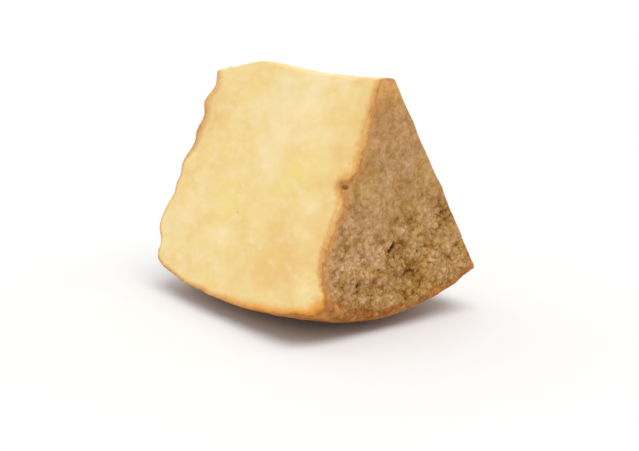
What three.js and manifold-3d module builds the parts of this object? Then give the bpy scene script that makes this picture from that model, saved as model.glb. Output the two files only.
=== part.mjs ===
// A chunk of aged sheep's-milk cheese: one sector of a drum-shaped wheel, cut out with two strokes
// of a knife and stood on its bulging heel with the broken point up. It is one solid.
// Millimetres, +Z up. +X runs along the wheel's axis, from the ridged base to the plain top face.
import * as THREE from "three";
import { ImprovedNoise } from "three/addons/math/ImprovedNoise.js";
import { mergeVertices } from "three/addons/utils/BufferGeometryUtils.js";
import Module from "manifold-3d";

const { degToRad, lerp, smoothstep } = THREE.MathUtils;

// The wheel that the chunk was cut from. Radii count from the line where the two cuts meet.
const WHEEL_RADIUS = 106.5; // to the fullest part of the heel
const WHEEL_HEIGHT = 123; // between the two flat faces
const HEEL_BULGE = 6.2; // how far the heel falls back from its middle to a face
const HEEL_START = -50.4; // where the heel's curve leaves the base rim, along the axis
const TOP_RIM_ROUND = 4.8; // radius of the rim at the plain face

// Crests and valleys that a coiled reed mat pressed into the base, from the middle out, and the soft
// rim that follows them: [radius, how far it stands out from the flat base].
const BASE_RINGS = [
  [15.5, -3.6],
  [23, 1.1],
  [30.5, -2.6],
  [37.5, -1.0],
  [43.2, -3.1],
  [53.3, 0.7],
  [59.5, -0.9],
  [64.9, 0.2],
  [68.7, -1.2],
  [74.5, 1.8],
  [80.5, 2.1],
  [86, 1.5],
  [92.8, -4.5],
  [95, -3.9],
  [98.6, -5.1],
  [100.3, -6.8],
];

// The two cuts, as angles from the upright, and the waves that the blade left in them.
const NEAR_CUT = { angle: degToRad(-24.5), outward: -1, slice: 0.5 }; // slice: its place in the noise
const FAR_CUT = { angle: degToRad(28.7), outward: 1, slice: 3.5 };
const CUT_WAVE = { size: 34, height: 0.6 };
const CUT_CRUMB = { size: 9, height: 0.4 };

// The broken point: places along the axis, and how deep the break is there.
const POINT_BREAK = [
  [-60.8, 8.4],
  [-46, 5.8],
  [-36, 3.9],
  [-23, 2.2],
  [-7, 3.8],
  [15, 6.4],
  [35, 7.3],
  [61.5, 7.4],
];
const BREAK_CROWN = 0.5; // how far the middle of the break stands above its edges
const BREAK_CRUMB = { size: 5, height: 0.9 };

// The rind: low lumps all over, and crags on the plain face that grow towards the heel.
const RIND_LUMP = { size: 15, height: 0.6 };
const RIND_CRAG = { size: 7, height: 1.3 };
const CRAG_REACH = { none: 40, full: 82, fade: 92, rim: 100 }; // radii

// Pits in the plain face: [radius, angle in degrees, length, width, depth, turn in degrees].
const KNOWN_PITS = [
  [71.8, 1.7, 5.2, 2.2, 2.4, 150],
  [85.4, -9.8, 3.2, 2.2, 1.9, 140],
  [76.8, 11.8, 2.6, 1.7, 1.4, 120],
  [83.6, 14.6, 2.8, 1.7, 1.5, 60],
  [67.3, 24.8, 3.0, 2.2, 1.8, 80],
  [49.8, -23.6, 3.4, 2.2, 2.2, 75],
];
const SMALL_PITS = { face: 30, heel: 14 }; // spread by rule over the plain face and the heel
const FACE_PIT_WIDTH = [1.0, 2.1];
const HEEL_PIT_WIDTH = [1.3, 2.7];
const PIT_STRETCH = [1, 1.6]; // a small pit's length as a share of its width
const PIT_DEPTH = 0.55; // its depth, likewise
const PIT_MARGIN = 3; // clear of the cuts
const PIT_SPREAD = [0.12, 0.97]; // share of the face's area, counted from the point

// Eyes, small slits in the near and the far cut: [along the axis, radius, length, width].
const NEAR_EYES = [
  [-3.3, 70.1, 3.6, 1.3],
  [27, 85, 1.5, 0.9],
  [-34, 48, 1.4, 0.8],
];
const FAR_EYES = [
  [18, 57, 2.2, 1.0],
  [-27, 79, 1.6, 0.9],
  [-8, 30, 1.3, 0.8],
];

// Shell-shaped chips along the edge of the plain face and the near cut. A chip is the bite of a large
// ball that leans from the face's normal towards the cut's.
const EDGE_CHIPS = [
  { radius: 112, ball: 120, depth: 4.9 },
  { radius: 41, ball: 60, depth: 1.1 },
];
const CHIP_LEAN = degToRad(27);
const CHIP_DETAIL = 14; // how finely a ball is faceted

const REST_FLAT = 0.9; // how deep the heel is flattened where it rests
const STEPS = { along: 18, round: 22, out: 42 }; // facets along the axis, round the arc and outwards
const SEED = 20;
const LEHMER = { factor: 16807, modulus: 2147483647 }; // constants of the random sequence

// The section outline: x along the axis, y the radius. The rim at the plain face is an arc that is
// tangent to the face and to the parabola of the heel.
const HALF = WHEEL_HEIGHT / 2;
const heelRadius = (x) => WHEEL_RADIUS - HEEL_BULGE * (x / HALF) ** 2;
const heelSlope = (x) => (-2 * HEEL_BULGE * x) / HALF ** 2;

const rimCentre = HALF - TOP_RIM_ROUND;
const rimSweep = Math.PI / 2 + Math.atan(heelSlope(rimCentre));
const rimEnd = rimCentre + TOP_RIM_ROUND * Math.cos(rimSweep);
const rimStart = heelRadius(rimEnd) - TOP_RIM_ROUND * Math.sin(rimSweep);

const breakPoints = POINT_BREAK.map(([x, depth]) => new THREE.Vector2(x, depth));
const ringPoints = BASE_RINGS.map(([radius, out]) => new THREE.Vector2(-HALF - out, radius));
const pointEdge = new THREE.SplineCurve(breakPoints);
const baseEdge = new THREE.SplineCurve([breakPoints[0], ...ringPoints]);
const topEdge = new THREE.Path()
  .moveTo(breakPoints.at(-1).x, breakPoints.at(-1).y)
  .lineTo(HALF, rimStart)
  .absarc(rimCentre, rimStart, TOP_RIM_ROUND, 0, rimSweep / 2, false);

const heelLine = (x, from) => heelRadius(from) + heelSlope(from) * (x - from); // tangent to the heel
const heelMiddle = (HEEL_START + rimEnd) / 2;
const baseCorner = ringPoints.at(-1);
const cornerMiddle = (baseCorner.x + HEEL_START) / 2;
const heelEdge = new THREE.Path()
  .moveTo(baseCorner.x, baseCorner.y)
  .quadraticCurveTo(cornerMiddle, heelLine(cornerMiddle, HEEL_START), HEEL_START, heelRadius(HEEL_START))
  .quadraticCurveTo(heelMiddle, heelLine(heelMiddle, HEEL_START), rimEnd, heelRadius(rimEnd))
  .absarc(rimCentre, rimStart, TOP_RIM_ROUND, rimSweep, rimSweep / 2, true);

// A point of the section between its four edges: u from the base to the top face, w from the point
// to the heel.
function sectionPoint(u, w) {
  const across = pointEdge.getPointAt(u).lerp(heelEdge.getPointAt(u), w);
  const outwards = baseEdge.getPointAt(w).lerp(topEdge.getPointAt(w), u);
  const atPoint = pointEdge.getPointAt(0).lerp(pointEdge.getPointAt(1), u);
  const atHeel = heelEdge.getPointAt(0).lerp(heelEdge.getPointAt(1), u);
  return across.add(outwards).sub(atPoint.lerp(atHeel, w));
}

// Relief, in millimetres.
const noise = new ImprovedNoise();
const lumps = ({ size, height }, x, y, z) => height * noise.noise(x / size, y / size, z / size);

function topFaceRelief(across, down) {
  const radius = Math.hypot(across, down);
  const { none, full, fade, rim } = CRAG_REACH;
  const crag = smoothstep(radius, none, full) * (1 - smoothstep(radius, fade, rim));
  return lumps(RIND_LUMP, HALF, across, down) + crag * lumps(RIND_CRAG, HALF, across, down);
}

function cutRelief(x, radius, { slice }) {
  const wave = lumps(CUT_WAVE, x, radius, slice * CUT_WAVE.size);
  const crumb = lumps(CUT_CRUMB, x, radius, slice * CUT_CRUMB.size);
  return wave + crumb;
}

// Where a place of the chunk is: u along the axis, v from the near to the far cut, w from the point
// to the heel.
function chunkPoint(u, v, w) {
  const section = sectionPoint(u, w);
  const angle = lerp(NEAR_CUT.angle, FAR_CUT.angle, v);
  let { x, y: radius } = section;
  let sideways = 0;
  const across = radius * Math.sin(angle);
  const down = radius * Math.cos(angle);
  if (u === 0) x -= lumps(RIND_LUMP, x, across, down);
  if (u === 1) x += topFaceRelief(across, down);
  if (w === 1) radius += lumps(RIND_LUMP, x, across, down);
  if (w === 0) {
    const level = Math.cos(FAR_CUT.angle) / Math.cos(angle);
    const middle = Math.sin(Math.PI * v);
    radius = radius * level - middle * (BREAK_CROWN + lumps(BREAK_CRUMB, x, across, down));
  }
  if (v === 0) sideways = -cutRelief(x, radius, NEAR_CUT);
  if (v === 1) sideways = cutRelief(x, radius, FAR_CUT);
  const floor = REST_FLAT - WHEEL_RADIUS;
  return new THREE.Vector3(
    x,
    radius * Math.sin(angle) + sideways * Math.cos(angle),
    Math.max(floor, -radius * Math.cos(angle) + sideways * Math.sin(angle)),
  );
}

// A box bent into the sector: its ends become the faces, its sides the cuts, its bottom the heel.
function sectorGeometry() {
  const geometry = new THREE.BoxGeometry(1, 1, 1, STEPS.along, STEPS.round, STEPS.out);
  const place = geometry.attributes.position;
  const share = (value, steps) => Math.round((value + 0.5) * steps) / steps;
  for (let i = 0; i < place.count; i++) {
    const u = share(place.getX(i), STEPS.along);
    const v = share(place.getY(i), STEPS.round);
    const w = share(-place.getZ(i), STEPS.out);
    place.setXYZ(i, ...chunkPoint(u, v, w));
  }
  return geometry;
}

// A pit or an eye is a low ellipsoid, sunk to its middle at a place and turned about the face's normal.
function hollowGeometry({ place, normal, length, width, depth, turn, detail }) {
  const facing = new THREE.Quaternion().setFromUnitVectors(new THREE.Vector3(0, 0, 1), normal);
  const spin = new THREE.Quaternion().setFromAxisAngle(normal, turn);
  return new THREE.IcosahedronGeometry(1, detail)
    .scale(length / 2, width / 2, depth)
    .applyQuaternion(spin.multiply(facing))
    .translate(place.x, place.y, place.z);
}

function seededRandom(seed) {
  let state = seed;
  return () => {
    state = (state * LEHMER.factor) % LEHMER.modulus;
    return state / LEHMER.modulus;
  };
}

const polar = (x, radius, angle) => new THREE.Vector3(x, radius * Math.sin(angle), -radius * Math.cos(angle));

function facePit({ radius, angle, ...shape }) {
  const flat = polar(HALF, radius, angle);
  const place = flat.setX(HALF + topFaceRelief(flat.y, -flat.z));
  return hollowGeometry({ place, normal: new THREE.Vector3(1, 0, 0), ...shape });
}

function heelPit({ x, angle, ...shape }) {
  const flat = polar(x, heelRadius(x), angle);
  const radius = heelRadius(x) + lumps(RIND_LUMP, x, flat.y, -flat.z);
  return hollowGeometry({ place: polar(x, radius, angle), normal: polar(0, 1, angle), ...shape });
}

function knownPits() {
  return KNOWN_PITS.map(([radius, degrees, length, width, depth, turn]) =>
    facePit({ radius, angle: degToRad(degrees), length, width, depth, turn: degToRad(turn), detail: 1 }),
  );
}

function smallPits(random) {
  const between = (low, high) => low + (high - low) * random();
  const arcPlace = (radius) =>
    between(NEAR_CUT.angle + PIT_MARGIN / radius, FAR_CUT.angle - PIT_MARGIN / radius);
  const shape = (widths) => {
    const width = between(...widths);
    const length = width * between(...PIT_STRETCH);
    return { length, width, depth: width * PIT_DEPTH, turn: between(0, Math.PI), detail: 0 };
  };
  const onFace = Array.from({ length: SMALL_PITS.face }, () => {
    const radius = rimStart * Math.sqrt(between(...PIT_SPREAD));
    return facePit({ radius, angle: arcPlace(radius), ...shape(FACE_PIT_WIDTH) });
  });
  const onHeel = Array.from({ length: SMALL_PITS.heel }, () => {
    const x = between(HEEL_START, rimCentre);
    return heelPit({ x, angle: arcPlace(WHEEL_RADIUS), ...shape(HEEL_PIT_WIDTH) });
  });
  return [...onFace, ...onHeel];
}

const normalOf = ({ angle, outward }) => polar(0, 1, angle + (outward * Math.PI) / 2);

function eyes(list, cut) {
  const normal = normalOf(cut);
  return list.map(([x, radius, length, width]) => {
    const place = polar(x, radius, cut.angle).addScaledVector(normal, cutRelief(x, radius, cut));
    return hollowGeometry({ place, normal, length, width, depth: width, turn: 0, detail: 0 });
  });
}

function edgeChips() {
  const lean = normalOf(NEAR_CUT).multiplyScalar(Math.sin(CHIP_LEAN)).setX(Math.cos(CHIP_LEAN));
  return EDGE_CHIPS.map(({ radius, ball, depth }) => {
    const centre = polar(HALF, radius, NEAR_CUT.angle).addScaledVector(lean, ball - depth);
    return new THREE.IcosahedronGeometry(ball, CHIP_DETAIL).translate(centre.x, centre.y, centre.z);
  });
}

// Joining and cutting.
const wasm = await Module();
wasm.setup();
const MERGE_DISTANCE = 1e-4;

function solidOf(geometry) {
  geometry.deleteAttribute("normal");
  geometry.deleteAttribute("uv");
  const merged = mergeVertices(geometry, MERGE_DISTANCE);
  return new wasm.Manifold(
    new wasm.Mesh({
      numProp: 3,
      vertProperties: merged.attributes.position.array,
      triVerts: new Uint32Array(merged.index.array),
    }),
  );
}

function geometryOf(solid) {
  const { vertProperties, triVerts } = solid.getMesh();
  const geometry = new THREE.BufferGeometry();
  geometry.setAttribute("position", new THREE.BufferAttribute(vertProperties, 3));
  geometry.setIndex(new THREE.BufferAttribute(triVerts, 1));
  return geometry;
}

// The origin is the middle of the chunk's box, on the surface that it stands on.
function standOnOrigin(geometry) {
  geometry.computeBoundingBox();
  const { min, max } = geometry.boundingBox;
  geometry.translate(-(min.x + max.x) / 2, -(min.y + max.y) / 2, -min.z);
  geometry.computeVertexNormals();
  return geometry;
}

const hollows = [
  ...knownPits(),
  ...smallPits(seededRandom(SEED)),
  ...eyes(NEAR_EYES, NEAR_CUT),
  ...eyes(FAR_EYES, FAR_CUT),
  ...edgeChips(),
];
let chunkSolid = solidOf(sectorGeometry());
for (const hollow of hollows) {
  chunkSolid = chunkSolid.subtract(solidOf(hollow));
}

const cheese = new THREE.MeshStandardMaterial({ color: 0xf0d79b, roughness: 0.6, metalness: 0 });
cheese.flatShading = true;
const chunk = new THREE.Mesh(standOnOrigin(geometryOf(chunkSolid)), cheese);
chunk.name = "pecorino_chunk";

const model = new THREE.Group();
model.add(chunk);

export default model;
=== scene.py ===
import math

import bmesh
import bpy
from mathutils import Matrix, Vector, kdtree, noise


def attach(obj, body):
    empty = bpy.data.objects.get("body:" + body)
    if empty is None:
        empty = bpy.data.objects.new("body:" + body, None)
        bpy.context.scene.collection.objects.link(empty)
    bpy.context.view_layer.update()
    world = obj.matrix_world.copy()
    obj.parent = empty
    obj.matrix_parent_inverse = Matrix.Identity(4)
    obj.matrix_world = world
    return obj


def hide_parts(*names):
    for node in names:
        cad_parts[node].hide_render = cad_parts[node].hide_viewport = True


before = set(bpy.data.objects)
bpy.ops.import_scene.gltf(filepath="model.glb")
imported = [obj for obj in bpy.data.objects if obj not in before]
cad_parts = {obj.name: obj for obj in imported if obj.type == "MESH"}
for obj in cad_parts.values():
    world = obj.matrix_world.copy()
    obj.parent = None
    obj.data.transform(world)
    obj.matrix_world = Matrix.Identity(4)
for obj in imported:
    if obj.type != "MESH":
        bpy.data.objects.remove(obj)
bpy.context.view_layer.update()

# The chunk: a sector of a drum-shaped wheel of aged sheep's-milk cheese, cut out with two strokes of a
# knife and stood on its heel. It is one piece of close, pale paste inside a dry brown rind. The rind is
# grainy on the plain face, smoother on the heel, and ringed on the base, where the wheel lay on a reed mat.
MM = 0.001


def open_mesh(piece):
    form = bmesh.new()
    form.from_mesh(piece.data)
    form.normal_update()
    return form


def close_mesh(form, piece):
    form.to_mesh(piece.data)
    form.free()


def apply_modifiers(piece):
    depsgraph = bpy.context.evaluated_depsgraph_get()
    plain = piece.data
    finished = bpy.data.meshes.new_from_object(piece.evaluated_get(depsgraph))
    piece.modifiers.clear()
    piece.data = finished
    bpy.data.meshes.remove(plain)


# The form, as cut: the solid's own shape on an even grid of points. A scrap that the grid leaves loose in a
# pit is dropped.
GRID = 0.4  # mm between the points
MERGE_GAP = 0.005  # mm


def drop_scraps(form):
    """Deletes what isn't joined to the lowest point."""
    front = [min(form.verts, key=lambda vertex: vertex.co.z)]
    joined = set(front)
    while front:
        vertex = front.pop()
        fresh = {edge.other_vert(vertex) for edge in vertex.link_edges} - joined
        joined |= fresh
        front.extend(fresh)
    scraps = [vertex for vertex in form.verts if vertex not in joined]
    bmesh.ops.delete(form, geom=scraps, context="VERTS")


form = open_mesh(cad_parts["pecorino_chunk"])
bmesh.ops.remove_doubles(form, verts=form.verts, dist=MERGE_GAP * MM)
chunk = bpy.data.objects.new("cheese_chunk", bpy.data.meshes.new("cheese_chunk"))
close_mesh(form, chunk)
bpy.context.scene.collection.objects.link(chunk)
even_grid = chunk.modifiers.new("even grid", "REMESH")
even_grid.mode = "VOXEL"
even_grid.voxel_size = GRID * MM
apply_modifiers(chunk)
form = open_mesh(chunk)
drop_scraps(form)
close_mesh(form, chunk)

# Where the surface is rind, knife cut or broken paste. The chips are bites of large balls out of the edge
# of the near cut and the plain face.
WHEEL_MIDDLE = Vector((0.6, -3.5, 105.6))  # in mm, on the line where the two cuts meet
HALF_HEIGHT = 61.5  # mm, of the wheel
NEAR_CUT = math.radians(-24.5)  # from straight down
FAR_CUT = math.radians(28.7)
EDGE_CHIPS = [  # sizes in mm
    {"shows": "chip", "radius": 112, "ball": 120, "depth": 4.9},
    {"shows": "worn edge", "radius": 41, "ball": 60, "depth": 1.1},
]
CHIP_LEAN = math.radians(27)  # from the face's normal towards the cut's
CHIP_STRAY = 0.35  # mm that a chip strays from its ball
CUT_WAVES = 2.2  # mm that the cuts stray from flat
INNER_CUT = {"base": -50, "face": 57, "heel": 97}  # well inside the rind, in mm
POINT_DEPTH = 9.5  # mm from the line of the cuts down to the lowest of the broken point
LEAST_COSINE = {"chip": 0.85, "cut": 0.6, "break": 0.55}  # between a normal and the way that its zone faces


def polar(along, radius, angle):
    return Vector((along, radius * math.sin(angle), -radius * math.cos(angle)))


def wheel_place(point):
    """A point's place in the wheel: along the axis, radius, and angle from straight down."""
    along, across, up = point / MM - WHEEL_MIDDLE
    return along, math.hypot(across, up), math.atan2(across, -up)


def facing(cut, outward):
    return polar(0, 1, cut + outward * math.pi / 2)


near_side = facing(NEAR_CUT, -1)
far_side = facing(FAR_CUT, 1)
chip_lean = near_side * math.sin(CHIP_LEAN) + Vector((math.cos(CHIP_LEAN), 0, 0))


def zone(point, normal):
    along, radius, angle = wheel_place(point)
    for chip in EDGE_CHIPS:
        ball = chip["ball"]
        middle = polar(HALF_HEIGHT, chip["radius"], NEAR_CUT) + chip_lean * (ball - chip["depth"])
        inwards = middle - polar(along, radius, angle)
        on_ball = abs(inwards.length - ball) < CHIP_STRAY
        if on_ball and normal.dot(inwards) > LEAST_COSINE["chip"] * ball:
            return chip["shows"]
    inner = INNER_CUT["base"] < along < INNER_CUT["face"] and radius < INNER_CUT["heel"]
    for cut, side in ((NEAR_CUT, near_side), (FAR_CUT, far_side)):
        close = abs(radius * math.sin(angle - cut)) < CUT_WAVES
        if close and (inner or normal.dot(side) > LEAST_COSINE["cut"]):
            return "cut"
    if radius * math.cos(angle) < POINT_DEPTH and normal.z > LEAST_COSINE["break"]:
        return "break"
    return "rind"


# The grid still shows the solid's flat facets, so the open stretches are eased, the cuts the most. The
# edges and the pits that stand out on the plain face stay crisp.
CRISP = math.radians(28)
CRISP_MARGIN = 1.2  # mm
EASING = {"cut": 90, "chip": 60, "worn edge": 60, "rind": 10}  # passes
EASING_STEP = 0.5
SHADED_PITS = [  # radius, angle in degrees, size in mm, darkness of the painted shade
    (71.8, 1.7, 2.6, 1),
    (85.4, -9.8, 2, 1),
    (76.8, 11.8, 1.6, 0.5),
    (83.6, 14.6, 1.6, 0.5),
    (49.8, -23.6, 1.6, 0.4),
]
PIT_REACH = 5  # mm
shaded_pits = [(polar(0, radius, math.radians(angle)), *rest) for radius, angle, *rest in SHADED_PITS]


def nearest(points):
    """A function that gives the distance, in mm, to the nearest of some points."""
    tree = kdtree.KDTree(len(points))
    for index, point in enumerate(points):
        tree.insert(point, index)
    tree.balance()
    return lambda point: tree.find(point)[2] / MM


def by_pit(point):
    _, radius, angle = wheel_place(point)
    return any((polar(0, radius, angle) - middle).length < PIT_REACH for middle, *_ in shaded_pits)


def stays_crisp(edge):
    if edge.calc_face_angle(0) < CRISP:
        return False
    meeting = {zones[end.index] for end in edge.verts}
    if meeting == {"rind"}:
        end = edge.verts[0].co
        return end.x < 0 or by_pit(end)
    return len(meeting) == 1 or "rind" in meeting or "break" in meeting


form = open_mesh(chunk)
zones = [zone(vertex.co, vertex.normal) for vertex in form.verts]
to_crisp = nearest([edge.verts[0].co.copy() for edge in form.edges if stays_crisp(edge)])
open_points = [vertex.index for vertex in form.verts if to_crisp(vertex.co) > CRISP_MARGIN]
form.free()
for name, passes in EASING.items():
    stretch = chunk.vertex_groups.new(name=name)
    stretch.add([index for index in open_points if zones[index] == name], 1, "REPLACE")
    easing = chunk.modifiers.new("ease " + name, "SMOOTH")
    easing.vertex_group = name
    easing.factor = EASING_STEP
    easing.iterations = passes
apply_modifiers(chunk)
chunk.vertex_groups.clear()

# How deep a place lies under the rind, as a share of the section that drying has coloured: below 0 on the
# rind itself, 0 at its edge, about 1.5 where the paste has its full colour. In places the rind is rubbed
# off along the near edge of the plain face, so that the section shows on the face too.
BASE_SECTION = {"widths": (6.0, 1.6), "radii": (30, 60)}  # mm, from the point down to the heel
FACE_SECTION = {"widths": (3.4, 1.3), "radii": (64, 84)}  # mm, from the point down to the heel
HEEL_SECTION = {"widths": (1.4, 2.8), "along": (-40, 30)}  # mm, from the base to the plain face
HEEL_CORNER = {"width": 6.0, "along": (58.6, 61)}  # mm, where the heel meets the plain face
PALER_BASE = [  # pairs of radii in mm, and what the share of the base's section gains at each of them
    ((16, 34), (0.4, 0)),
    ((58, 72), (0, 0.35)),
]
PLAIN_PASTE = 3.0  # the share past which nothing changes
RIND_MARGIN = 2.5  # mm of rind that counts as a share of 1
FAR_SHADED_EDGE = 0.8  # mm of the far cut's edge that is painted as brown as the rind, as painted shade
RUBBED = [  # radius of the place, its size, how far the rind is rubbed off or (below 0) left on, in mm
    (27, 8, 2.4),
    (48.5, 3.2, -2.4),
    (61, 10, 2.8),
    (77, 7, 1.6),
    (96, 6, 1.4),
]
RUBBED_FROM = 47  # mm along the axis
RUBBED_CUT = 0.6  # how much of the rubbing shows on the cut
CORNER_RADII = (86, 93)  # mm, where the plain face and the base turn towards the heel
FAR_ORANGE = 0.4  # of the far corner, with the near one's 1
HEEL_ORANGE = {"shares": (0.4, 1), "along": (2, 28)}


def rise(value, low, high):
    """A smooth step from 0 at low to 1 at high."""
    share = min(1, max(0, (value - low) / (high - low)))
    return share * share * (3 - 2 * share)


def graded(value, places, ends):
    """Goes smoothly from the first end at the first place to the second end at the second."""
    return ends[0] + (ends[1] - ends[0]) * rise(value, *places)


def fade(gap, size):
    """1 where the gap is 0, next to nothing where it is twice the size."""
    return math.exp(-((gap / size) ** 2))


form = open_mesh(chunk)
borders = {"face": [], "heel": [], "base": []}
for edge in form.edges:
    meeting = [zones[end.index] for end in edge.verts]
    if meeting.count("rind") != 1:
        continue
    along, radius, _ = wheel_place(edge.verts[0].co)
    if radius > INNER_CUT["heel"]:
        border = "heel"
    elif along > (0 if "break" in meeting else INNER_CUT["face"]):
        border = "face"
    else:
        border = "base"
    borders[border].append(edge.verts[0].co.copy())
to_border = {side: nearest(points) for side, points in borders.items()}


def rind_share(vertex, along, radius, angle):
    """The share at a vertex, and how much of the heel's orange the section has there."""
    gaps = {side: reach(vertex.co) for side, reach in to_border.items()}
    rubbed = 0
    if along > RUBBED_FROM and angle < 0:
        rubbed = sum(reach * fade(radius - place, size) for place, size, reach in RUBBED)
    corner = rise(radius, *CORNER_RADII) * (1 if angle < 0 else FAR_ORANGE)
    if zones[vertex.index] == "rind":
        share = (rubbed - min(gaps.values())) / RIND_MARGIN
        return min(share, gaps["heel"] / HEEL_CORNER["width"]), corner
    if angle > 0:
        # Painted shade: the far cut's edge is kept as brown as the rind.
        gaps["face"] -= FAR_SHADED_EDGE
    heel = graded(along, HEEL_SECTION["along"], HEEL_SECTION["widths"])
    heel = graded(along, HEEL_CORNER["along"], (heel, HEEL_CORNER["width"]))
    shares = {
        "base": gaps["base"] / graded(radius, BASE_SECTION["radii"], BASE_SECTION["widths"]),
        "face": gaps["face"] / graded(radius, FACE_SECTION["radii"], FACE_SECTION["widths"]),
        "heel": gaps["heel"] / heel,
    }
    shares["base"] += sum(graded(radius, radii, gains) for radii, gains in PALER_BASE)
    shares["face"] += RUBBED_CUT * rubbed / RIND_MARGIN
    side = min(shares, key=shares.get)
    heel_orange = graded(along, HEEL_ORANGE["along"], HEEL_ORANGE["shares"])
    orange = {"base": 0, "face": corner, "heel": heel_orange}
    return min(PLAIN_PASTE, shares[side]), orange[side]


# Soft broad spots of colour that show, and one broad spot of painted shade on the paste. Tone is whiter
# paste or lighter rind above 0, darker below. Gold is yellower paste or more ochre rind above 0, greyer
# below.
PASTE_SPOTS_AND_SHADE = [  # along the axis, radius, size in mm, tone, gold
    (6, 30, 20, 1.0, -0.3),
    (10, 45, 11, 0.5, 0),
    (20, 5, 20, 1.2, -0.4),
    (-22, 15, 9, 0, 0.8),
    (-12, 67, 12, 0.4, 1.1),
    (29, 50, 10, -0.3, 1.1),
    # painted shade: the paste darker low on the near cut, by the heel and the plain face
    (34, 85, 11, -2.6, 0.4),
    (-50, 82, 11, 1.3, -0.3),
    (-38, 66, 8, 0.7, 0),
    (-8, 86, 10, 0.9, 0),
    (45, 57, 7, 1.0, 0),
    (50, 83, 9, -0.8, 0),
    (57, 90, 6, 2.4, -0.3),
    (-52, 35, 12, -1.2, 0),
]
FACE_SPOTS = [  # radius, angle in degrees, size in mm, tone, gold
    (9, 0, 9, 0, 2.0),
    (33, 13, 11, 0.3, -1.6),
    (49, -13, 5, 0.2, 1.2),
    (52, 20, 5, -0.1, 0.9),
    (68, 26, 7, -1.6, -1.0),
    (62, 6, 6, -1.2, -0.6),
    (67, -9, 12, 0.6, -1.2),
    (73, 3, 6, -1.7, -1.2),
    (85, 7, 8, -1.9, 0.1),
    (89, -5, 5, -1.2, 0),
    (84, -13, 7, 0.2, -0.4),
    (73, 21, 6, -0.9, 0),
    (81, 26, 5, 0.9, 0),
    (90, 10, 7, 0, 1.4),
]
paste_spots_and_shade = [(Vector((along, radius)), *rest) for along, radius, *rest in PASTE_SPOTS_AND_SHADE]
face_spots = [(polar(0, radius, math.radians(angle)), *rest) for radius, angle, *rest in FACE_SPOTS]
RING_GROOVE_SHADE = -0.42  # painted shade, for each mm that the base lies deeper than its flat
BASE_COSINE = -0.2  # between the base's normals and the wheel's axis, at most
DRIED = {"tones": (-1.0, 0), "depths": (4, 20)}  # mm from the plain face into the paste


def spotted(here, spots):
    """The tone and the gold that the spots give at a place."""
    tone = gold = 0
    for middle, size, spot_tone, spot_gold in spots:
        share = fade((here - middle).length, size)
        tone += share * spot_tone
        gold += share * spot_gold
    return tone, gold


def broad_tone(vertex, along, radius, angle):
    """The tone and the gold at a vertex."""
    if zones[vertex.index] == "rind":
        if vertex.normal.x < BASE_COSINE:
            # Painted shade in the grooves between the base's rings.
            return RING_GROOVE_SHADE * (along + HALF_HEIGHT) * (1 - rise(radius, *CORNER_RADII)), 0
        return spotted(polar(0, radius, angle), face_spots)
    dried = graded(HALF_HEIGHT - along, DRIED["depths"], DRIED["tones"])
    if angle > 0:
        return dried, 0
    tone, gold = spotted(Vector((along, radius)), paste_spots_and_shade)
    return tone + dried, gold


# Relief of the rind. Small and large crumbs, broad lumps and holes make up its grain, which is coarsest low
# on the plain face. The face ends in an uneven lip, and the base has the fine grooves of single reeds.
GRAIN_SEED = 5  # fixed, so that the grain is the same in every run
SMALL_CRUMBS = {"size": 1.5, "seed": 9, "height": 0.22, "crest": 0.4}  # size and height in mm
LARGE_CRUMBS = {"size": 3.2, "seed": 13, "height": 0.42, "crest": 0.5}
BROAD_LUMPS = {"size": 5.6, "seed": 31, "height": 0.5, "crest": 0.55}
HOLES = {"size": 2.2, "seed": 51, "height": -0.5, "crest": -0.35}
HOLE_EDGE = (0.42, 0.65)  # of the noise that makes the holes
HOLE_TONE = 0.03  # darker rind has more of them
CRUMB_WARP = {"strength": 0.5, "size": 1.3}  # in sizes of a crumb
CRUMB_EDGE = 0.45  # of the noise that makes the crumbs, up from the gaps
LIP = {"radius": 95.4, "width": 1, "drop": 0.4}  # mm, where the plain face ends and the rim falls away
LIP_STRAY = {"size": 4.5, "seed": 71, "height": 2.4}
REEDS = {"height": 0.14, "pitch": 1.9}  # mm
REED_STRAY = {"size": 14, "seed": 61, "height": 1}
COARSE_RIND = 0.4  # how coarse the grain is everywhere; 1 is the coarsest
COARSE_BASE = 0.2  # how much coarser it is on the base
COARSE_FACE = {"gains": (0.05, 0.55), "radii": (44, 84)}  # and on the plain face, from the point down
SMOOTH_RIM = 0.45  # how much of that is lost on the rim
FACE_SIDE = 50  # mm along the axis
PIT_DEPTHS = (0.4, 1.3)  # mm, from where a pit's painted shade begins to where it is darkest
RED_PATCH = {  # above the lip, by the near end of the heel
    "radii": (90.4, 93.2),
    "angle": math.radians(-15.5),
    "spread": math.radians(5),
    "redness_and_rim_shade": 0.8,
}
noise.seed_set(GRAIN_SEED)


def lumps(point, kind):
    return noise.noise(point / kind["size"] + Vector((0, kind["seed"], 0)))


def bumps(point, kind):
    return kind["height"] * lumps(point, kind)


def crumbs(point, kind):
    """Uneven crumbs of about a size: 0.5 on each of them, -0.5 in the gaps between."""
    place = point / kind["size"]
    warped = place + CRUMB_WARP["strength"] * noise.noise_vector(place / CRUMB_WARP["size"])
    distances, _ = noise.voronoi(warped + Vector((0, kind["seed"], 0)))
    return rise(distances[1] - distances[0], 0, CRUMB_EDGE) - 0.5


def rind_grain(point, coarse, tone):
    """The rind's relief at a place, and how far it stands out there from the gaps of the grain."""
    grain = [
        (SMALL_CRUMBS, crumbs(point, SMALL_CRUMBS)),
        (LARGE_CRUMBS, crumbs(point, LARGE_CRUMBS)),
        (BROAD_LUMPS, lumps(point, BROAD_LUMPS)),
        (HOLES, rise(lumps(point, HOLES) - HOLE_TONE * tone, *HOLE_EDGE)),
    ]
    height = coarse * sum(kind["height"] * value for kind, value in grain)
    crest = coarse * sum(kind["crest"] * value for kind, value in grain)
    return height, crest


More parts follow.
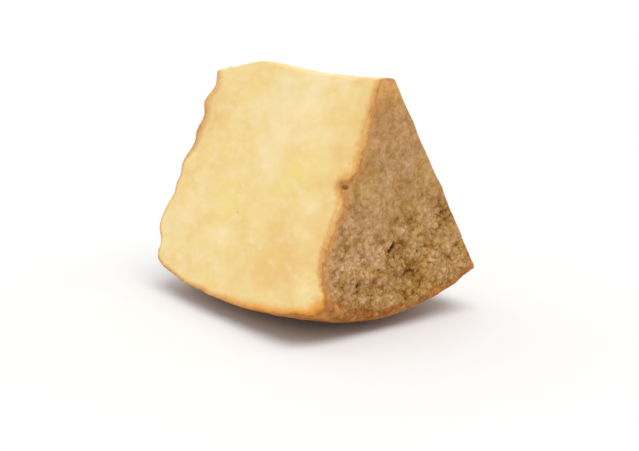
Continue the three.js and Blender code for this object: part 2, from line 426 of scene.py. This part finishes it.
def coarseness(radius, on_face, on_base, rim):
    """How coarse the rind is: about 1 low on the plain face, less towards the point and elsewhere."""
    face_gain = on_face * graded(radius, COARSE_FACE["radii"], COARSE_FACE["gains"])
    return COARSE_RIND + face_gain * (1 - SMOOTH_RIM * rim) + COARSE_BASE * on_base


def past_lip(point, radius):
    """0 on the plain face, 1 on its rim, with an uneven line between them."""
    line = LIP["radius"] + bumps(point, LIP_STRAY)
    return rise(radius, line - LIP["width"] / 2, line + LIP["width"] / 2)


def red_patch(along, radius, angle):
    """How much of the rim's red reaches up the plain face."""
    if along <= FACE_SIDE:
        return 0
    aside = fade(angle - RED_PATCH["angle"], RED_PATCH["spread"])
    return RED_PATCH["redness_and_rim_shade"] * aside * rise(radius, *RED_PATCH["radii"])


def pit_shade(along, radius, angle):
    """How much painted shade the pits that show on the plain face get: 1 deep in one of them, 0 clear of
    them.
    """
    if along <= FACE_SIDE:
        return 0
    here = polar(0, radius, angle)
    dark = sum(darkest * fade((here - middle).length, size) for middle, size, darkest in shaded_pits)
    return dark * rise(HALF_HEIGHT - along, *PIT_DEPTHS)


def reed_marks(point, radius):
    """Fine grooves that the reeds of the mat pressed into the base, along its rings."""
    turns = (radius + bumps(point, REED_STRAY)) / REEDS["pitch"]
    return REEDS["height"] * math.sin(2 * math.pi * turns)


# What the material reads at each place of the rind: how coarse it is, how far it stands out (crest), how red
# and darker with painted shade as the rim, and how warm. Beside the cuts and at the point it is paler and
# warmer.
TURNED = (0.3, 0.8)  # cosines with the axis, from a side of the wheel to its face or base
EDGE_SHARES = (0.1, 1.8)  # of rind, over which a cut's influence fades
FAR_EDGE = 0.25  # the far cut's influence, with the near one's 1, so the far edge keeps less of the paler warm margin, as painted shade
POINT_RADII = (8, 20)  # mm
SMOOTHER = {"edge": 0.5, "light": 0.04, "pit": 0.7}  # how much of the coarseness is lost there
CREST = {"edge": 0.2, "pit": -1.3, "point": 0.6}  # what the crest gains there; the pits' loss is painted shade
RED_AND_SHADE_SIDE = {"shares": (0.55, 1), "along": (42, 54)}  # shares of the rim's red and painted shade; mm, from the heel to the plain face
RUBBED_BARE = -0.2  # the share past which the section's orange shows
POINT_WARMTH = 1.2
HIGH_WARMTH = {"shares": (0.45, 0), "radii": (26, 48)}  # mm, from the point down


def rind_finish(vertex, place, share, orange, tone):
    """The relief in mm at a vertex of the rind, and what the material reads there."""
    point = vertex.co / MM
    along, radius, angle = place
    on_face = rise(vertex.normal.x, *TURNED)
    on_base = rise(-vertex.normal.x, *TURNED)
    rim = past_lip(point, radius) if along > 0 else 1 - on_base
    edge = (1 if angle < 0 else FAR_EDGE) * (1 - rise(-share, *EDGE_SHARES))
    pit = pit_shade(along, radius, angle)
    at_point = 1 - rise(radius, *POINT_RADII)
    coarse = coarseness(radius, on_face, on_base, rim)
    coarse *= (1 - SMOOTHER["edge"] * edge) * (1 - SMOOTHER["light"] * tone) * (1 - SMOOTHER["pit"] * pit)
    height, crest = rind_grain(point, coarse, tone)
    height += on_base * reed_marks(point, radius) - LIP["drop"] * on_face * rim
    crest += CREST["edge"] * edge + CREST["pit"] * pit + CREST["point"] * at_point
    # The rim's red carries painted shade, most of it by the plain face.
    red = max(rim, red_patch(along, radius, angle)) * graded(along, RED_AND_SHADE_SIDE["along"], RED_AND_SHADE_SIDE["shares"])
    high_warmth = graded(radius, HIGH_WARMTH["radii"], HIGH_WARMTH["shares"])
    return height, {
        "coarse": coarse,
        "crest": crest,
        "rim": orange if share > RUBBED_BARE else red,
        "warmth": max(edge, POINT_WARMTH * at_point, high_warmth),
    }


# The same for the paste: a slight crumb on the cuts, a rougher one where it broke. The few eyes in the cuts
# are darker with painted shade where their walls turn aside from the cut, which their low crest says.
CUT_CRUMB = {"size": 3.4, "seed": 3, "height": 0.06}
BROKEN_LUMPS = {"size": 3.4, "seed": 17, "height": 0.3}
BROKEN_CRUMB = {"size": 1.2, "seed": 23, "height": 0.25}
FAR_WARMTH = 0.3  # of the far cut's edge, with the near one's 1, so the far edge stays less warm, as painted shade
EYES = {"share": 1.5, "radius": 16, "cosines": (0.6, 0.9)}  # well inside the cut, where it turns aside


def paste_finish(vertex, place, share, orange):
    """The relief in mm at a vertex of the paste, and what the material reads there."""
    point = vertex.co / MM
    _, radius, angle = place
    looks = {"coarse": 0, "crest": 0, "rim": orange, "warmth": 1 if angle < 0 else FAR_WARMTH}
    if zones[vertex.index] != "cut":
        return bumps(point, BROKEN_LUMPS) + bumps(point, BROKEN_CRUMB), looks
    if share > EYES["share"] and radius > EYES["radius"]:
        side = near_side if angle < 0 else far_side
        looks["crest"] = rise(vertex.normal.dot(side), *EYES["cosines"]) - 1
    return bumps(point, CUT_CRUMB), looks


LOOKS = ("rind_share", "warmth", "rim", "crest", "coarse", "tone", "gold")
layers = {name: form.verts.layers.float.new(name) for name in LOOKS}
for vertex in form.verts:
    place = wheel_place(vertex.co)
    share, orange = rind_share(vertex, *place)
    tone, gold = broad_tone(vertex, *place)
    if zones[vertex.index] == "rind":
        height, looks = rind_finish(vertex, place, share, orange, tone)
    else:
        height, looks = paste_finish(vertex, place, share, orange)
    looks.update(rind_share=share, tone=tone, gold=gold)
    for name, value in looks.items():
        vertex[layers[name]] = value
    vertex.co += vertex.normal * height * MM
    vertex.co.z = max(0, vertex.co.z)
for face in form.faces:
    face.smooth = True

# Relief folds the surface over in tight places, which are eased until it lies open. The flat stretches need
# fewer points than the rind's grain.
FOLD = math.radians(100)
UNFOLDING = 20  # passes
UNFOLDING_STEP = 0.5
MOST_TRIANGLES = 194000


def unfold(form):
    edges = form.edges
    every_way = {"use_axis_x": True, "use_axis_y": True, "use_axis_z": True}
    for _ in range(UNFOLDING):
        form.normal_update()
        folded = {end for edge in edges if edge.calc_face_angle(0) > FOLD for end in edge.verts}
        bmesh.ops.smooth_vert(form, verts=list(folded), factor=UNFOLDING_STEP, **every_way)
        edges = {edge for end in folded for edge in end.link_edges}


unfold(form)
close_mesh(form, chunk)
thinning = chunk.modifiers.new("thin out", "DECIMATE")
thinning.ratio = MOST_TRIANGLES / (2 * len(chunk.data.polygons))
apply_modifiers(chunk)
form = open_mesh(chunk)
unfold(form)
close_mesh(form, chunk)

# The finish. It reads the looks that are kept at each point, and speckles them with noise of several sizes.
# Colours are as a screen shows them, in parts of 255.
cheese = bpy.data.materials.new("cheese")
cheese.use_nodes = True
nodes = cheese.node_tree.nodes
links = cheese.node_tree.links
surface = nodes["Principled BSDF"]
coordinates = nodes.new("ShaderNodeTexCoord").outputs["Object"]


def colour(red, green, blue):
    return [*(((part / 255 + 0.055) / 1.055) ** 2.4 for part in (red, green, blue)), 1]


def feed(socket, value):
    """Links a socket to another node's output, or sets it."""
    if isinstance(value, bpy.types.NodeSocket):
        links.new(value, socket)
    else:
        socket.default_value = value


def attribute(name):
    reader = nodes.new("ShaderNodeAttribute")
    reader.attribute_name = name
    return reader.outputs["Fac"]


def sums(kind, first, second):
    step = nodes.new("ShaderNodeMath")
    step.operation = kind
    feed(step.inputs[0], first)
    feed(step.inputs[1], second)
    return step.outputs["Value"]


def speckle(size, detail=2, roughness=0.5, over=coordinates):
    """Noise from about -0.5 to 0.5, with spots of a size in mm and of smaller ones."""
    spots = nodes.new("ShaderNodeTexNoise")
    spots.inputs["Scale"].default_value = 1 / (size * MM)
    spots.inputs["Detail"].default_value = detail
    spots.inputs["Roughness"].default_value = roughness
    links.new(over, spots.inputs["Vector"])
    return sums("SUBTRACT", spots.outputs["Fac"], 0.5)


def weigh(*terms):
    """The sum of values, each with its weight."""
    total = 0
    for value, weight in terms:
        total = sums("ADD", sums("MULTIPLY", value, weight), total)
    return total


def between(value, low, high):
    """A smooth step from 0 at low to 1 at high."""
    step = nodes.new("ShaderNodeMapRange")
    step.interpolation_type = "SMOOTHSTEP"
    feed(step.inputs["Value"], value)
    step.inputs["From Min"].default_value = low
    step.inputs["From Max"].default_value = high
    return step.outputs["Result"]


def blend(amount, first, second):
    mix = nodes.new("ShaderNodeMix")
    mix.data_type = "RGBA"
    feed(mix.inputs[0], amount)
    feed(mix.inputs[6], first)
    feed(mix.inputs[7], second)
    return mix.outputs[2]


def shades(value, *stops):
    """Colours along a scale: pairs of a place and a colour."""
    ramp = nodes.new("ShaderNodeValToRGB")
    points = ramp.color_ramp.elements
    while len(points) < len(stops):
        points.new(0.5)
    for point, (position, shade) in zip(points, stops):
        point.position = position
        point.color = shade
    feed(ramp.inputs["Fac"], value)
    return ramp.outputs["Color"]


warmth = attribute("warmth")
redness_and_rim_shade = attribute("rim")
coarse_grain = attribute("coarse")
lightness = attribute("tone")
yellowness = attribute("gold")
crests = attribute("crest")
ragged = weigh((speckle(1.6, 2), 0.9), (speckle(5, 2), 0.9))
ragged = sums("MULTIPLY", ragged, weigh((redness_and_rim_shade, -0.6), (1, 1)))
depth = sums("ADD", attribute("rind_share"), ragged)

# Paste: pale and close, with tan, white and yellow clouds and white spots of curd, all drawn out along the
# wheel's axis.
drawn_out = nodes.new("ShaderNodeMapping")
drawn_out.inputs["Scale"].default_value = (0.6, 1, 1)
links.new(coordinates, drawn_out.inputs["Vector"])
curd = drawn_out.outputs["Vector"]
clouds = weigh((lightness, 0.25), (speckle(9, 3, 0.6, curd), 1.2), (0.46, 1))
paste = shades(
    clouds,
    (0.0, colour(229, 188, 119)),
    (0.5, colour(234, 206, 138)),
    (1.0, colour(240, 219, 172)),
)
yellow = between(weigh((yellowness, 1), (speckle(6, 2, 0.5, curd), 1.5)), 0.0, 1.6)
paste = blend(sums("MULTIPLY", yellow, 0.8), paste, colour(235, 209, 112))
flecks = between(speckle(5, 1, 0.6, curd), 0.0, 0.3)
paste = blend(sums("MULTIPLY", flecks, 0.35), paste, colour(242, 223, 184))
white_spots = between(speckle(3.4, 2, 0.6, curd), 0.14, 0.32)
paste = blend(sums("MULTIPLY", white_spots, 0.5), paste, colour(244, 228, 194))
# Painted shade inside the eyes of the cuts.
paste = blend(between(crests, 0, -1), paste, colour(196, 156, 62))

# The section under the rind, dried from brown to the paste's own colour. It is more orange along the heel
# and in the corners between the heel and the plain face.
SECTION_SCALE = 2  # the share at the end of its scale of colours
section = shades(
    sums("DIVIDE", depth, SECTION_SCALE),
    (0.0, colour(180, 124, 58)),
    (0.12, colour(204, 150, 82)),
    (0.28, colour(216, 165, 97)),
    (0.45, colour(222, 177, 108)),
    (0.7, colour(227, 190, 122)),
)
heel_section = shades(
    sums("DIVIDE", depth, SECTION_SCALE),
    (0.0, colour(176, 106, 34)),
    (0.1, colour(203, 134, 46)),
    (0.2, colour(220, 151, 64)),
    (0.3, colour(227, 166, 84)),
    (0.45, colour(230, 182, 110)),
    (0.65, colour(230, 193, 128)),
)
section = blend(redness_and_rim_shade, section, heel_section)
paste = blend(between(depth, 0.7, 1.7), section, paste)

# Rind: pale crests and dark gaps of the grain, in a greyer and a more ochre brown, partly the rind's own
# colour and partly painted highlight on the crests and painted shade in the gaps. It is redder on the rim
# and the heel, and darker there with painted shade, and more orange along the cuts and at the point.
mottle = weigh((speckle(0.8, 1), 0.55), (speckle(2.5, 1), 0.7), (speckle(7, 1), 0.7))
mottle = sums("MULTIPLY", mottle, weigh((coarse_grain, 0.7), (0.3, 1)))
# Painted highlight on the crests and painted shade in the gaps, with the rind's own mottle.
grain_shade = weigh((crests, 0.4), (mottle, 1), (lightness, 0.12), (0.61, 1))
grey_rind = shades(
    grain_shade,
    (0.0, colour(82, 34, 0)),
    (0.2, colour(120, 76, 10)),
    (0.4, colour(152, 110, 56)),
    (0.6, colour(174, 132, 86)),
    (0.8, colour(191, 152, 112)),
    (1.0, colour(212, 178, 140)),
)
ochre_rind = shades(
    grain_shade,
    (0.0, colour(82, 34, 0)),
    (0.2, colour(123, 79, 4)),
    (0.4, colour(153, 110, 44)),
    (0.6, colour(176, 133, 73)),
    (0.8, colour(193, 153, 98)),
    (1.0, colour(213, 178, 124)),
)
# Redder and darker than the rest of the rind: the rim's own red with painted shade.
red_shaded_rind = shades(
    grain_shade,
    (0.0, colour(90, 44, 10)),
    (0.4, colour(145, 85, 29)),
    (0.6, colour(168, 107, 46)),
    (1.0, colour(209, 153, 89)),
)
warm_rind = shades(
    grain_shade,
    (0.0, colour(106, 58, 18)),
    (0.4, colour(164, 106, 52)),
    (0.6, colour(185, 126, 69)),
    (1.0, colour(216, 159, 92)),
)
ochre = between(weigh((speckle(6, 4, 0.7), 1), (yellowness, 0.12)), -0.16, 0.16)
rind = blend(ochre, grey_rind, ochre_rind)
# The rim's red is partly its own colour and partly painted shade, darker where the rim turns down from the
# plain face.
reddened_and_shaded = between(weigh((redness_and_rim_shade, 0.85), (speckle(3, 3), 0.7)), 0.1, 0.9)
rind = blend(reddened_and_shaded, rind, red_shaded_rind)
warmed = between(weigh((warmth, 1), (speckle(2.5, 3), 1.2)), 0.2, 1.1)
rind = blend(sums("MULTIPLY", warmed, 0.85), rind, warm_rind)

# Rind and paste together. The rind is dry and dull, with a fine roughness, and the paste has a slight
# sheen.
FINE_RELIEF = 0.12  # mm
on_rind = between(depth, 0.05, -0.05)
feed(surface.inputs["Base Color"], blend(on_rind, paste, rind))
surface.inputs["Specular IOR Level"].default_value = 0.25
feed(surface.inputs["Roughness"], weigh((on_rind, 0.3), (speckle(2), 0.2), (0.5, 1)))
bump = nodes.new("ShaderNodeBump")
bump.inputs["Distance"].default_value = FINE_RELIEF * MM
feed(bump.inputs["Height"], sums("MULTIPLY", speckle(0.6, 2), sums("ADD", on_rind, 0.2)))
links.new(bump.outputs["Normal"], surface.inputs["Normal"])

chunk.data.materials.clear()
chunk.data.materials.append(cheese)
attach(chunk, "root")
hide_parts("pecorino_chunk")

# The floor: a plain pale sheet, wide enough that its edge is out of sight. It is only a stage for the
# chunk, and takes its soft shadow.
FLOOR_SIZE = 6.0  # metres
FLOOR_PALE = 0.78
FLOOR_ROUGHNESS = 0.8
form = bmesh.new()
bmesh.ops.create_grid(form, x_segments=1, y_segments=1, size=FLOOR_SIZE)
floor = bpy.data.objects.new("floor", bpy.data.meshes.new("floor"))
close_mesh(form, floor)
bpy.context.scene.collection.objects.link(floor)
pale = bpy.data.materials.new("pale floor")
pale.use_nodes = True
pale_surface = pale.node_tree.nodes["Principled BSDF"]
pale_surface.inputs["Base Color"].default_value = (FLOOR_PALE, FLOOR_PALE, FLOOR_PALE, 1)
pale_surface.inputs["Roughness"].default_value = FLOOR_ROUGHNESS
floor.data.materials.append(pale)

# The light: a white room all round, and one broad soft light from high above, a little towards the plain
# face.
ROOM_LIGHT = 0.8
HIGH_LIGHT = 1.7
HIGH_LIGHT_FROM = Vector((0.35, -0.05, 0.94))
HIGH_LIGHT_SPREAD = math.radians(50)
room = bpy.data.worlds.new("white room")
room.use_nodes = True
backdrop = room.node_tree.nodes["Background"]
backdrop.inputs["Color"].default_value = (1, 1, 1, 1)
sight = room.node_tree.nodes.new("ShaderNodeLightPath").outputs["Is Camera Ray"]
white = room.node_tree.nodes.new("ShaderNodeMapRange")
white.inputs["To Min"].default_value = ROOM_LIGHT
room.node_tree.links.new(sight, white.inputs["Value"])
room.node_tree.links.new(white.outputs["Result"], backdrop.inputs["Strength"])
bpy.context.scene.world = room
lamp = bpy.data.lights.new("high light", "SUN")
lamp.energy = HIGH_LIGHT
lamp.angle = HIGH_LIGHT_SPREAD
high_light = bpy.data.objects.new("high light", lamp)
high_light.rotation_euler = HIGH_LIGHT_FROM.to_track_quat("Z", "Y").to_euler()
bpy.context.scene.collection.objects.link(high_light)

# The camera: a little above the chunk, looking at the edge between the near cut and the plain face. It
# sees the chunk as the photograph does.
CAMERA_PLACE = Vector((355.65, -244.92, 122.35)) * MM
CAMERA_TURN = math.radians(54.538)
CAMERA_DOWN = math.radians(11.761)
CAMERA_ROLL = math.radians(-0.826)
IMAGE_WIDTH = 639  # pixels
FOCAL_PIXELS = 1000
SENSOR_WIDTH = 36  # mm
camera = bpy.data.objects.new("camera", bpy.data.cameras.new("camera"))
camera.data.sensor_width = SENSOR_WIDTH
camera.data.sensor_fit = "HORIZONTAL"
camera.data.lens = SENSOR_WIDTH * FOCAL_PIXELS / IMAGE_WIDTH
camera.matrix_world = (
    Matrix.Translation(CAMERA_PLACE)
    @ Matrix.Rotation(CAMERA_TURN, 4, "Z")
    @ Matrix.Rotation(math.pi / 2 - CAMERA_DOWN, 4, "X")
    @ Matrix.Rotation(CAMERA_ROLL, 4, "Z")
)
bpy.context.scene.collection.objects.link(camera)
bpy.context.scene.camera = camera
bpy.context.scene.view_settings.view_transform = "Standard"
